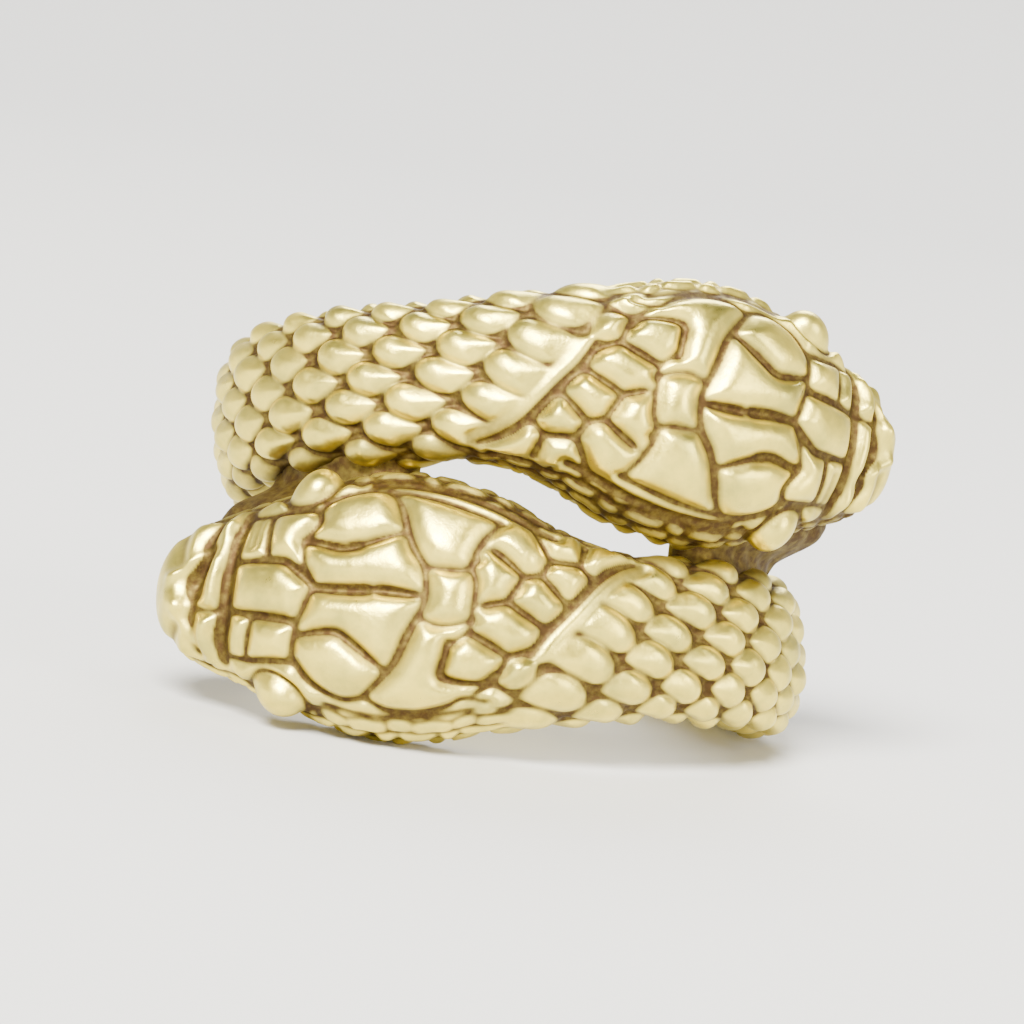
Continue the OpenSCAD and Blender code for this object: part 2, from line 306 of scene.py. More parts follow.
def scaleRelief(s, w):
    w = w[None, :]
    skewed = np.clip((s[:, None] - scales["skewFrom"]) / scales["skewOver"], 0, scales["skewMost"])
    slant = scales["skew"] * (w - scales["skewAbout"]) * skewed
    p = phase(s[:, None] + slant)
    q = w * scales["rows"] + 0.5 + 0 * p
    tilt = ease(s / scales["backLength"])[:, None]
    # the highest scale and the next at every point, of the nearest few
    best, second = np.full(p.shape, -1.0), np.full(p.shape, -1.0)
    for k in (-1, 0, 1, 2):
        n = np.floor(q) - 1 + k
        c = np.where(n % 2 == 0, 0, 0.5)
        for step in (-1, 0, 1):
            m = np.round(p - c) + c + step
            x = p - m + scales["unevenPlace"] * scatter(m, n, 2)
            y = (q - n - 0.5) / scales["halfWidth"] * (1 + scales["unevenWidth"] * scatter(m, n, 5))
            tail = x < 0
            reachX = np.where(tail, -x / scales["tailLength"], x / scales["headLength"])
            power = np.where(tail, scales["tailOutline"], scales["headOutline"])
            rho = (reachX ** power + np.abs(y) ** power) ** (1 / power)
            dome = np.clip(1 - rho ** np.where(tail, scales["tailPower"], scales["headPower"]), -1, 1)
            lifted = 1 + scales["lift"] * np.where(tail, reachX, -scales["headDrop"] * reachX) * tilt
            h = dome * lifted * (1 + scales["uneven"] * scatter(m, n, 1))
            second = np.maximum(second, np.minimum(h, best))
            best = np.maximum(best, h)
    crease = scales["creaseDepth"] * (1 - ease((best - second) / scales["creaseAt"]))
    best = np.where(best > 0, best, scales["valley"] * best)
    return best / (1 + scales["lowered"] * scales["lift"]) - crease


# Grooves between the head's plates. Each has a half width in millimetres, a depth as a share of the
# plates' height, and the points it runs through: share of the head's length behind the snout, and girth
# from the middle line of the plates
plates = {
    "rise": 0.34,
    "inward": 0.085, "inwardTo": 1.2,     # the middle line stands this far inward of the crown
    "pillow": 0.15, "pillowOver": 0.5,    # how much a plate swells, and over how many millimetres
    "deepest": 0.25,     # share of their height that grooves go below the plain casting
    "curveSteps": 5,     # straight steps between two points of a groove
    "grooves": [
        # middle line, broken by a small bridge
        [0.21, 1.2, (0.527, 0.0), (0.60, 0.005), (0.652, 0.0)],
        [0.18, 1.2, (0.680, -0.005), (0.76, 0.0)],
        [0.13, 0.6, (0.65, 0.0), (0.69, 0.0)],
        # in front of the brow plates
        [0.17, 0.95, (0.482, -0.27), (0.496, -0.13), (0.519, -0.02), (0.507, 0.10), (0.489, 0.24),
         (0.481, 0.43)],
        # between the inner and outer brow plates
        [0.18, 1.2, (0.486, -0.30), (0.526, -0.275), (0.578, -0.24), (0.62, -0.252)],
        [0.12, 1.0, (0.61, -0.25), (0.65, -0.275), (0.72, -0.35)],
        [0.15, 1.0, (0.492, 0.295), (0.541, 0.26), (0.59, 0.25), (0.627, 0.30), (0.679, 0.385),
         (0.709, 0.435)],
        # behind the brow plates, right across
        [0.22, 0.9, (0.668, -0.62), (0.698, -0.53), (0.720, -0.39), (0.743, -0.27), (0.772, -0.17),
         (0.784, -0.05), (0.784, 0.05), (0.769, 0.15), (0.75, 0.27), (0.728, 0.40), (0.694, 0.50),
         (0.66, 0.59)],
        # outer edges of the brow plates
        [0.18, 1.0, (0.482, -0.29), (0.513, -0.41), (0.507, -0.51), (0.527, -0.57), (0.567, -0.61),
         (0.62, -0.63), (0.668, -0.62)],
        [0.18, 1.0, (0.481, 0.43), (0.522, 0.55), (0.567, 0.61), (0.612, 0.63), (0.66, 0.60)],
        # the two great plates of the crown
        [0.16, 1.0, (0.668, -0.62), (0.716, -0.615), (0.784, -0.605), (0.858, -0.58), (0.930, -0.555)],
        [0.16, 0.9, (0.922, -0.545), (0.899, -0.42), (0.884, -0.30), (0.877, -0.21)],
        [0.14, 0.9, (0.772, -0.17), (0.806, -0.165), (0.851, -0.17), (0.877, -0.20), (0.895, -0.26)],
        [0.17, 1.0, (0.66, 0.60), (0.716, 0.66), (0.791, 0.675), (0.866, 0.64), (0.910, 0.60),
         (0.97, 0.64)],
        [0.14, 0.9, (0.780, 0.13), (0.821, 0.165), (0.866, 0.15), (0.903, 0.10)],
        [0.14, 1.1, (0.851, 0.25), (0.847, 0.35), (0.843, 0.45), (0.888, 0.49), (0.948, 0.50),
         (0.970, 0.44)],
        # behind them, where the neck's plates begin
        [0.16, 0.9, (0.877, -0.21), (0.893, -0.12), (0.897, 0.0), (0.895, 0.08), (0.903, 0.12),
         (0.89, 0.20), (0.858, 0.27)],
        # in front: the nose plate and the pairs beside it
        [0.18, 1.15, (0.299, 0.19), (0.373, 0.20), (0.448, 0.205), (0.485, 0.215)],
        [0.18, 1.15, (0.313, -0.20), (0.373, -0.19), (0.440, -0.17), (0.470, -0.12), (0.515, -0.03)],
        [0.18, 1.15, (0.377, -0.52), (0.382, -0.36), (0.392, -0.20)],
        [0.16, 1.0, (0.354, 0.52), (0.362, 0.35), (0.373, 0.20)],
        [0.17, 1.0, (0.30, -0.60), (0.381, -0.55), (0.448, -0.53), (0.507, -0.51)],
        [0.17, 1.0, (0.30, 0.55), (0.358, 0.53), (0.410, 0.49), (0.478, 0.46)],
        # brown gaps between the plates and the lips
        [0.24, 1.0, (0.63, -0.685), (0.70, -0.69), (0.79, -0.69), (0.88, -0.67), (0.96, -0.64),
         (1.06, -0.62)],
        [0.20, 0.9, (0.56, 0.69), (0.65, 0.71), (0.75, 0.715), (0.85, 0.70), (0.94, 0.68)],
        # hollows across the snout
        [0.36, 1.15, (0.300, -0.62), (0.294, -0.30), (0.288, 0.0), (0.287, 0.25), (0.275, 0.42),
         (0.280, 0.60)],
        [0.24, 0.9, (0.345, -0.58), (0.345, -0.30)],
        [0.18, 0.9, (0.20, 0.20), (0.27, 0.20)],
        [0.36, 1.0, (0.225, -0.60), (0.212, -0.42), (0.198, -0.20), (0.188, -0.05), (0.190, 0.07)],
        [0.24, 0.9, (0.190, 0.07), (0.190, 0.25), (0.185, 0.42), (0.205, 0.60)],
        [0.30, 0.5, (0.165, 0.30), (0.125, 0.46), (0.100, 0.70)],
        [0.26, 0.5, (0.160, -0.10), (0.128, -0.30), (0.11, -0.60)],
    ],
    # raised lines and the bulb of the nose, then sunk places: half width and height in millimetres
    "ridges": [
        [0.17, 0.26, (0.262, -0.56), (0.20, -0.34), (0.155, -0.20), (0.115, -0.10)],
        [0.18, 0.12, (0.248, -0.22), (0.246, 0.0), (0.244, 0.10)],
        [0.15, 0.22, (0.145, 0.16), (0.150, 0.27), (0.172, 0.40), (0.195, 0.50)],
        [0.15, 0.18, (0.236, 0.30), (0.228, 0.42), (0.240, 0.55)],
        [0.40, 0.18, (0.115, 0.18), (0.128, 0.22)],
        [0.36, -0.34, (0.212, -0.38), (0.198, -0.20), (0.186, -0.04)],
        [0.30, -0.08, (0.165, 0.30), (0.128, 0.47), (0.100, 0.70)],
        [0.28, -0.06, (0.160, -0.16), (0.113, -0.56)],
        [0.30, -0.18, (0.296, -0.50), (0.290, 0.0), (0.282, 0.45)],
    ],
    # pillow-like plates of the neck: share of the head's length, and girth, of each middle
    "neck": [
        (0.984, -0.40), (0.934, -0.18), (1.105, -0.27), (1.036, -0.08), (0.986, 0.135), (0.925, 0.40),
        (1.040, 0.487), (1.085, -0.58), (1.185, -0.50), (0.990, 0.68),
    ],
    "neckValley": 0.20,  # half width of the valleys between them
    "neckDome": 1.3,     # radius over which each of them rounds off
    # girth, and share of the head's length, of the line where they begin
    "neckLine": [
        (-0.56, 0.925), (-0.42, 0.905), (-0.30, 0.890), (-0.21, 0.880), (-0.12, 0.895), (0.0, 0.90),
        (0.10, 0.90), (0.13, 0.91), (0.25, 0.86), (0.30, 0.85), (0.45, 0.85), (0.52, 0.90), (0.60, 0.92),
    ],
    "neckOver": 0.02,
    # rows of lip scales
    "lips": {
        "edges": [0.745, 0.86, 0.985, 1.13],      # girths of the lines between the rows
        "from": 0.66, "over": 0.03,               # girth where the rows begin
        "behind": 0.3, "behindOver": 0.4,         # millimetres behind the snout
        "length": 1.16, "first": 0.055,           # of one scale, and share of the head's length before them
        "width": 0.12, "depth": 0.95,             # of the lines between them
        "mouth": 2, "mouthWidth": 1.4, "mouthDepth": 1.25,   # this edge is wider and deeper
        "lower": 0.75,                            # share of the plates' height
        "uneven": 0.12, "waves": (2.3, 5.1),      # the lines wave so many millimetres, so often
        "drift": 0.16, "driftWave": 3,            # and the scales' ends, in shares of a scale
    },
    # smooth flat fold where the neck begins: share of the head's length, and girth from the crown
    "fold": {
        "halfWidth": 0.46, "level": 0.05,
        "ridge": 0.15, "ridgeHalfWidth": 0.20, "ridgeAt": 0.010,      # towards the body
        "groove": 0.10, "grooveHalfWidth": 0.18, "grooveAt": -0.016,  # towards the head
        "points": [(1.050, 0.26), (1.075, 0.10), (1.125, -0.12), (1.173, -0.34), (1.235, -0.54),
                   (1.300, -0.68)],
        "beyond": (1.01, 0.45),      # where the border between plates and scales runs on to
        "borderOver": 0.05,
        "edgeFrom": 0.7, "edgeOver": 0.5,          # its edge is soft, in shares of the half width
        # how wide it is at each end, as a share, and how soon it widens, per girth
        "outerEnd": (0.5, 2.6), "innerEnd": (0.6, 3), "endOver": 0.06,
    },
}


def smoothLine(points):
    # a curve through the points, as short straight steps
    p = np.array(points, float)
    if len(p) < 3:
        return p
    at = np.linspace(0, len(p) - 1, (len(p) - 1) * plates["curveSteps"] + 1)
    slopes = np.gradient(p, axis=0)
    i = np.clip(at.astype(int), 0, len(p) - 2)
    u = (at - i)[:, None]
    return curved(p[i], p[i + 1], slopes[i], slopes[i + 1], u)


def girthLengths(s):
    # millimetres from the crown to the mouth line
    a = np.linspace(0, math.pi / 2, arcSteps)[None, :]
    r = reach(a, topPower)
    x, y = halfW(s)[:, None] * r * np.sin(a), topH(s)[:, None] * r * np.cos(a)
    return np.hypot(np.diff(x, axis=1), np.diff(y, axis=1)).sum(1)


def awayFrom(line, t, w, girthL):
    # distance in millimetres from every grid point to a line on the skin
    best = np.full(t.shape, 1e9)
    for (t0, w0), (t1, w1) in zip(line[:-1], line[1:]):
        dx, dy = (t1 - t0) * head["length"], (w1 - w0) * girthL
        px, py = t - t0 * head["length"], (w - w0) * girthL
        u = np.clip((px * dx + py * dy) / np.maximum(dx * dx + dy * dy, 1e-9), 0, 1)
        best = np.minimum(best, np.hypot(px - u * dx, py - u * dy))
    return best


def cut(d, halfWidth):
    # a rounded groove, half as deep at its half width
    half, steepness = 0.69, 1.6
    return np.exp(-half * (d / halfWidth) ** steepness)


def neckFrom(v):
    # share of the head's length at which the neck's plates begin
    return np.interp(v, *np.array(plates["neckLine"]).T)


def neckBorder(t, v, girthL):
    # distances in millimetres to the middle of the nearest plate of the neck, and to its border
    spots = [(at * head["length"], girth) for at, girth in plates["neck"]]
    away = np.array([np.hypot(t - at, (v - girth) * girthL) for at, girth in spots])
    order = np.argsort(away, axis=0)
    nearest, second = (np.take_along_axis(away, order[k:k + 1], 0)[0] for k in (0, 1))
    places = np.array(spots)
    apart = places[order[0]] - places[order[1]]
    gap = np.hypot(apart[..., 0], apart[..., 1] * girthL)
    return nearest, (second ** 2 - nearest ** 2) / (2 * gap)


def plateRelief(s, w):
    far = 9                             # millimetres, more than any groove reaches
    t = (endS - s)[:, None] + 0 * w[None, :]
    v = w + plates["inward"] * np.sqrt(np.clip(plates["inwardTo"] - np.abs(w), 0, 1)) + 0 * t
    girthL = girthLengths(s)[:, None]
    depth, nearest = np.zeros(t.shape), np.full(t.shape, 1e9)
    for halfWidth, deep, *points in plates["grooves"]:
        d = awayFrom(smoothLine(points), t, v, girthL)
        depth = np.maximum(depth, deep * cut(d, halfWidth))
        nearest = np.minimum(nearest, d)
    lips = plates["lips"]
    g = np.abs(v)
    middle, border = neckBorder(t, v, girthL)
    lipSide = ease((g - lips["from"]) / lips["over"])
    onNeck = ease((t / head["length"] - neckFrom(v)) / plates["neckOver"]) * (1 - lipSide)
    depth = np.maximum(depth, cut(border, plates["neckValley"]) * onNeck)
    onLips = lipSide * ease((t - lips["behind"]) / lips["behindOver"])
    slow, quick = lips["waves"]
    side = np.sign(w)                   # the two sides wave differently
    wave = lips["uneven"] * (np.sin(slow * t + 4 * side) + np.sin(quick * t + side)) / 2
    for k, edge in enumerate(lips["edges"]):
        isMouth = k == lips["mouth"]
        d = np.abs((g - edge) * girthL + wave)
        deep = lips["depth"] * (lips["mouthDepth"] if isMouth else 1)
        wide = lips["width"] * (lips["mouthWidth"] if isMouth else 1)
        depth = np.maximum(depth, deep * cut(d, wide) * onLips)
        nearest = np.minimum(nearest, d)
    row = np.searchsorted(lips["edges"], g + wave / girthL)
    x = (t - lips["first"] * head["length"]) / lips["length"] + 0.5 * (row % 2)
    x = x + lips["drift"] * np.sin(lips["driftWave"] * t + row)
    d = np.abs(x - np.round(x)) * lips["length"]
    depth = np.maximum(depth, lips["depth"] * cut(d, lips["width"]) * onLips)
    nearest = np.minimum(nearest, np.where(onLips > 0.5, d, far))
    pillow = 1 - np.exp(-(nearest / plates["pillowOver"]) ** 2)
    pillow = mix(pillow, 1 - (middle / plates["neckDome"]) ** 2, onNeck)
    h = plates["rise"] * np.where(g > lips["from"], lips["lower"], 1.0) + plates["pillow"] * pillow
    h = h * np.clip(1 - depth, -plates["deepest"], 1)
    for halfWidth, high, *points in plates["ridges"]:
        h = h + high * cut(awayFrom(smoothLine(points), t, v, girthL), halfWidth)
    return h


# Eyes
eyes = {
    "diameter": 1.9, "rise": 0.92,
    "dome": 0.7,                     # less is flatter on top
    "socket": 0.3,                   # how far the plates sink towards it, in radii of the eye
    "places": [(0.462, -0.81), (0.437, 0.67)],   # share of the head's length, and girth, inner and outer
}


def eyeDistance(s, w):
    girthL = girthLengths(s)[:, None]
    away = [np.hypot(share(s)[:, None] - at, (w[None, :] - girth) * girthL / head["length"])
            for at, girth in eyes["places"]]
    return np.minimum(*away) * head["length"] / (eyes["diameter"] / 2)


belly, bellyOver = 1.3, 0.08         # beyond this girth the casting is plain


def relief(s, w):
    body = scales["rise"] * scaleRelief(s, w) * mix(ring["backW"] / ring["bodyW"], 1, fullness(s))[:, None]
    body = body * mix(1, scales["flatter"], ease((s - scales["flatFrom"]) / scales["flatOver"]))[:, None]
    plate = plateRelief(s, w)
    fold = plates["fold"]
    foldShare, foldGirth = np.array(fold["points"])[::-1].T
    beyondShare, beyondGirth = fold["beyond"]
    change = np.interp(w, np.append(foldGirth, beyondGirth), np.append(foldShare, beyondShare))[None, :]
    h = mix(plate, body, ease((share(s)[:, None] - change) / fold["borderOver"] + 0.5))
    t = (endS - s)[:, None] + 0 * w[None, :]
    line = smoothLine(fold["points"])
    wAll, girthL = w[None, :] + 0 * t, girthLengths(s)[:, None]
    # it narrows towards both ends
    fromInner, toOuter = w - foldGirth[0], foldGirth[-1] - w
    innerWidth, innerSlope = fold["innerEnd"]
    outerWidth, outerSlope = fold["outerEnd"]
    width = np.clip(innerWidth + innerSlope * fromInner, 0, 1)
    width = width * np.clip(outerWidth + outerSlope * toOuter, 0, 1)
    fade = (ease(fromInner / fold["endOver"] + 1) * ease(toOuter / fold["endOver"] + 1))[None, :]
    off = awayFrom(line, t, wAll, girthL) / (fold["halfWidth"] * width[None, :] + 0.01)
    inside = (1 - ease((off - fold["edgeFrom"]) / fold["edgeOver"])) * fade
    ridgeD, grooveD = (awayFrom(line + np.array([fold[k], 0]), t, wAll, girthL)
                       for k in ("ridgeAt", "grooveAt"))
    h = mix(h, fold["level"], inside) + fold["ridge"] * cut(ridgeD, fold["ridgeHalfWidth"]) * fade
    h = h - fold["groove"] * cut(grooveD, fold["grooveHalfWidth"]) * fade
    eye = eyeDistance(s, w)
    ball = eyes["rise"] * np.clip(1 - eye ** 2, 0, 1) ** eyes["dome"]
    socket = ease((eye - 1.0) / eyes["socket"])
    h = np.where(eye < 1, ball, h * socket)
    edge = ease((belly - np.abs(w)) / bellyOver)[None, :]
    return h * edge, eye, inside


# One half of the snake, from the back of the finger to the snout
grid = {
    "along": 0.08 if fine else 0.16,       # millimetres between rows of points
    "girth": 0.0125 if fine else 0.025,    # girth between points of a row
    "under": 22,                           # points under the plain belly
    "tip": 44 if fine else 24, "tipTo": 4, # rows round the snout, which stop so many degrees before its end
}


def halfRows():
    noseL = head["noseShare"] * head["length"]
    straight = np.arange(0, endS - noseL, grid["along"])
    turns = np.linspace(90, grid["tipTo"], grid["tip"]) * deg
    return np.concatenate([straight, endS - noseL * (1 - np.cos(turns))])


def girths():
    top = np.linspace(-belly, belly, int(round(2 * belly / grid["girth"])) + 1)
    under = np.linspace(belly, 4 - belly, grid["under"] + 2)[1:-1]
    return np.concatenate([top, np.where(under > 2, under - 4, under)])


def blur(h, reachRows, reachCols):
    # moving average, twice along the rows and twice round them
    out = h
    for axis, n in ((0, reachRows), (1, reachCols)):
        for again in (0, 1):
            pad = [(n, n) if k == axis else (0, 0) for k in (0, 1)]
            wide = np.pad(out, pad, mode="wrap" if axis == 1 else "edge")
            total = np.cumsum(wide, axis=axis)
            total = np.concatenate([np.zeros_like(np.take(total, [0], axis)), total], axis)
            size = out.shape[axis]
            out = (np.take(total, range(2 * n + 1, 2 * n + 1 + size), axis)
                   - np.take(total, range(0, size), axis)) / (2 * n + 1)
    return out


rows, cols = halfRows(), girths()
heights, eyeAway, onFold = relief(rows, cols)
heights[:, np.abs(cols) > belly] = 0
heights = blur(heights, 1, 1 if fine else 0)   # softly cast
half = skinPoints(rows, cols, heights * nose(rows)[:, None])
print("half of the snake:", half.shape)

# Brown where the casting is lower than what is round it: partly patina, partly painted shade of the
# hollows; and painted shade next to the slot and on the chin
patinaShadeLook = {
    "around": (0.5, 0.09),           # what counts as round it: millimetres along, and girth
    "hollow": 0.17, "low": 0.17,     # millimetres lower than that, and above the plain casting
    "topTo": 0.95, "topOver": 0.2,   # girth where the ornament ends and the chin begins
    "slotFrom": 0.60, "slotOver": 0.2,            # girth where the painted shade of the side next to the slot begins
    "slotAll": 0.35, "slotLow": 0.4, "slotLowTo": 0.15, "slotLowOver": 0.3,
    "chinTo": 1.3, "chinOver": 0.5,
    "share": {"deep": 0.75, "low": 0.6, "slot": 0.8, "chin": 0.35, "all": 0.08},
    "fold": (0.15, 0.60), "foldFrom": 0.2, "foldOver": 0.3,   # the fold is brown, browner with painted shade towards the slot
    "onEye": 0.2, "eyeFrom": 0.8, "eyeOver": 0.25,            # the eyes are rubbed clean
}


def patinaAndShadeOn(heights, eyeAway, onFold):
    look, part = patinaShadeLook, patinaShadeLook["share"]
    alongBy, girthBy = look["around"]
    span = max(2, int(round(alongBy / grid["along"]))), max(2, int(round(girthBy / grid["girth"])))
    # brown in the hollows and on the low parts: patina, deepened by painted shade
    deep = np.clip((blur(heights, *span) - heights) / look["hollow"], 0, 1)
    low = 1 - ease(heights / look["low"])
    under = ease((np.abs(cols) - look["topTo"]) / look["topOver"])
    lowBy = look["slotLow"] * (1 - ease((heights - look["slotLowTo"]) / look["slotLowOver"]))
    # painted shade on the side next to the slot, most on its low parts
    slot = ease((-cols - look["slotFrom"]) / look["slotOver"])[None, :] * (look["slotAll"] + lowBy)
    # painted shade on the chin
    chin = (under * (1 - ease((np.abs(cols) - look["chinTo"]) / look["chinOver"])))[None, :]
    found = (part["deep"] * deep + part["low"] * low + part["slot"] * slot) * (1 - under)[None, :]
    found = np.clip(found + part["chin"] * chin + part["all"], 0, 1)
    # painted shade on the fold, most towards the slot
    foldBy = mix(*look["fold"], ease((-cols - look["foldFrom"]) / look["foldOver"]))
    found = np.maximum(found, onFold * foldBy[None, :])
    return found * mix(look["onEye"], 1, ease((eyeAway - look["eyeFrom"]) / look["eyeOver"]))


# patina with painted shade, kept per point of the skin
patinaAndShade = patinaAndShadeOn(heights, eyeAway, onFold)


def wholeSnake(values, flip):
    # the other half is the same turned half round about the front's own axis
    n = int(round(2 * belly / grid["girth"])) + 1
    order = np.concatenate([np.arange(n)[::-1], np.arange(n, len(cols))[::-1]])
    other = values[:0:-1][:, order]
    if flip:
        other = other * np.array([-1, 1, -1])
    return np.concatenate([other, values])


skin = wholeSnake(half, True)
# the patina and painted shade of the whole snake
patinaAndShadeAll = wholeSnake(patinaAndShade, False)
alongRows = np.concatenate([-rows[:0:-1], rows])


def gridNormals(p):
    # found on the whole snake, so that its pieces meet without a line
    du = np.gradient(p, axis=0)
    dv = (np.roll(p, -1, 1) - np.roll(p, 1, 1)) / 2
    n = np.cross(du, dv)
    length = np.linalg.norm(n, axis=-1, keepdims=True)
    return n / np.maximum(length, 1e-12)


normals = gridNormals(skin)
centre = skin.mean(1, keepdims=True)
if ((skin - centre) * normals).sum(-1).mean() < 0:
    normals = -normals


def toMesh(name, points, faces, pointNormals=None, patinaShadeValues=None):
    mesh = bpy.data.meshes.new(name)
    mesh.vertices.add(len(points))
    mesh.vertices.foreach_set("co", toRoom(points).ravel())
    mesh.loops.add(faces.size)
    mesh.loops.foreach_set("vertex_index", faces.ravel().astype(np.int32))
    mesh.polygons.add(len(faces))
    mesh.polygons.foreach_set("loop_start", np.arange(0, faces.size, faces.shape[1], dtype=np.int32))
    mesh.update(calc_edges=True)
    mesh.validate()
    mesh.polygons.foreach_set("use_smooth", np.ones(len(faces), bool))
    # patina and painted shade go into a colour attribute
    if patinaShadeValues is not None:
        colour = mesh.color_attributes.new("patinaAndShade", "FLOAT_COLOR", "POINT")
        four = np.stack([patinaShadeValues] * 3 + [np.ones_like(patinaShadeValues)], -1)
        colour.data.foreach_set("color", four.ravel().astype(np.float32))
    if pointNormals is not None:
        mesh.normals_split_custom_set_from_vertices((pointNormals @ laidDown.T).tolist())
    piece = bpy.data.objects.new(name, mesh)
    bpy.context.scene.collection.objects.link(piece)
    return piece


def quads(nRows, nCols):
    i, j = np.meshgrid(np.arange(nRows - 1), np.arange(nCols), indexing="ij")
    k = (j + 1) % nCols
    corners = [i * nCols + j, i * nCols + k, (i + 1) * nCols + k, (i + 1) * nCols + j]
    return np.stack(corners, -1).reshape(-1, 4)


def skinPiece(name, first, final):
    points = skin[first:final + 1].reshape(-1, 3)
    n = normals[first:final + 1].reshape(-1, 3)
    g = patinaAndShadeAll[first:final + 1].ravel()
    faces = quads(final + 1 - first, len(cols))
    # a snout's last ring is closed by folding it flat across the mouth line
    for edge, isTip in ((0, first == 0), (final - first, final == len(skin) - 1)):
        if isTip:
            k = np.arange(len(cols) // 2 - 1)
            last = len(cols) - 1 - k
            cap = edge * len(cols) + np.stack([k, k + 1, last - 1, last], -1)
            faces = np.concatenate([faces, cap[:, ::-1] if edge == 0 else cap])
    a, b, c = (points[faces[0, k]] for k in (0, 1, 2))
    if np.dot(np.cross(b - a, c - a), n[faces[0, 0]]) < 0:
        faces = faces[:, ::-1]
    return toMesh(name, points, faces, n, g)


# the four pieces share their edge rows: two heads, and two halves of the body that meet at the back
napeS = endS - napeAt * head["length"]
napeTwo = int(np.argmin(np.abs(alongRows + napeS)))
napeOne = int(np.argmin(np.abs(alongRows - napeS)))
back = len(rows) - 1
snake = [
    skinPiece("headOne", napeOne, len(skin) - 1),
    skinPiece("bodyOne", back, napeOne),
    skinPiece("bodyTwo", napeTwo, back),
    skinPiece("headTwo", 0, napeTwo),
]
print("triangles of the heads and bodies:", [len(piece.data.polygons) * 2 for piece in snake])


# Webs of metal between a head and the body beside it: angle from the front, then heights above the
# finger hole's wall, as shares of the head's thickness, beside the body, in the hollow, beside the head
webs = {
    "low": -0.66, "high": 0.2,      # shares of the lane at which it ends inside the body and the head
    "standing": [-0.6, -0.52, -0.3, -0.06],   # and at which the heights of the table stand
    "under": 0.02,                  # it rises by so much more inside the body
    "drawnIn": 0.24, "from": 60,    # where the snout leaves the finger, the web draws back towards the body
    "sunk": 0.13,                   # millimetres outside the wall of the finger hole
    "noseOver": 7, "noseAt": 0.45,  # free edges, rounded over so many degrees at this share of its height
    "noseLeast": 0.06,              # share of its thickness left at the very edge
    "bay": 3.5, "bayOver": 12,      # and hollowed by so many degrees, fading over so many
    "bayMiddle": -0.24, "bayHalf": 0.26,   # about here and so far each way, in shares of the lane
    "rough": 0.012, "waves": (31, 0.5, 0.6, 2),   # rough casting, a slanting wave times one along
    "steps": (90, 44),              # points along and across
    "webPatinaShade": (0.9, 0.15, 0.6),       # patina and painted shade in the hollow between head and body, on the polished wall and at the ends
    "table": np.array([
        [28.5, 0.34, 0.24, 0.30],
        [36, 0.38, 0.32, 0.40],
        [44, 0.40, 0.36, 0.52],
        [53, 0.40, 0.38, 0.66],
        [62, 0.38, 0.40, 0.80],
        [69, 0.32, 0.40, 0.86],
        [74, 0.28, 0.34, 0.70],
    ]),
}


def smoothed(x, xs, ys):
    # curve through the points without overshooting much
    m = np.gradient(ys, xs)
    i = np.clip(np.searchsorted(xs, x, side="right") - 1, 0, len(xs) - 2)
    h = xs[i + 1] - xs[i]
    return curved(ys[i], ys[i + 1], m[i] * h, m[i + 1] * h, (x - xs[i]) / h)


def webPiece(name, flip):
    table = webs["table"]
    first, final = table[0, 0], table[-1, 0]
    stepsAlong, stepsAcross = webs["steps"]
    angles = np.linspace(first, final, stepsAlong)
    zs = np.array([webs["low"], *webs["standing"], webs["high"]])
    acrossWave, slantWave, alongWave, shiftWave = webs["waves"]
    loops = []
    for angle in angles:
        high = webs["high"] - webs["drawnIn"] * ease((angle - webs["from"]) / (final - webs["from"]))
        across = np.linspace(webs["low"], high, stepsAcross)
        beside, hollow, byHead = (smoothed(angle, table[:, 0], table[:, k]) for k in (1, 2, 3))
        inBody = beside + webs["under"]
        ys = np.array([inBody, inBody, beside, hollow, byHead, byHead])
        top = smoothed(across, zs, ys)
        slanting = np.sin(acrossWave * across + slantWave * angle)
        top = top + webs["rough"] * slanting * np.sin(alongWave * angle + shiftWave)
        wall = np.full(len(across), webs["sunk"] / head["thick"])
        fromStart, toEnd = angle - first, final - angle
        rounded = math.sqrt(max(0.0, 1 - (1 - min(min(fromStart, toEnd) / webs["noseOver"], 1)) ** 2))
        core, opened = mix(wall, top, webs["noseAt"]), mix(webs["noseLeast"], 1, rounded)
        top, wall = mix(core, top, opened), mix(core, wall, opened)
        bay = webs["bay"] * np.clip(1 - ((across - webs["bayMiddle"]) / webs["bayHalf"]) ** 2, 0, 1)
        bay = bay * (max(0, 1 - fromStart / webs["bayOver"]) - max(0, 1 - toEnd / webs["bayOver"]))
        a = (angle + np.concatenate([bay, bay[::-1]])) * deg
        z = np.concatenate([across, across[::-1]]) * ring["lane"]
        r = fingerR + np.concatenate([top, wall[::-1]]) * head["thick"]
        loops.append(np.stack([r * np.sin(a), -r * np.cos(a), z], -1))
    p = np.array(loops)
    if flip:
        p = p * np.array([-1, 1, -1])
    n = p.shape[1]
    faces = quads(len(p), n)
    points = p.reshape(-1, 3)
    caps = np.array([points[:n].mean(0), points[-n:].mean(0)])
    count = len(points)
    points = np.concatenate([points, caps])
    nearCap = [[count, (i + 1) % n, i] for i in range(n)]
    farCap = [[count + 1, count - n + i, count - n + (i + 1) % n] for i in range(n)]
    tris = np.concatenate([faces[:, [0, 1, 2]], faces[:, [0, 2, 3]], np.array(nearCap), np.array(farCap)])
    if not flip:
        tris = tris[:, ::-1]
    # painted shade with patina in the hollow between head and body, less on the wall
    inHollow, onWall, atEnds = webs["webPatinaShade"]
    webPatinaShade = np.concatenate([np.tile(np.repeat([inHollow, onWall], stepsAcross), len(p)), [atEnds, atEnds]])
    return toMesh(name, points, tris, None, webPatinaShade)


bridges = [webPiece("webOne", False), webPiece("webTwo", True)]
for piece in bridges:
    piece.data.shade_smooth()
print("triangles of the webs:", [len(piece.data.polygons) for piece in bridges])
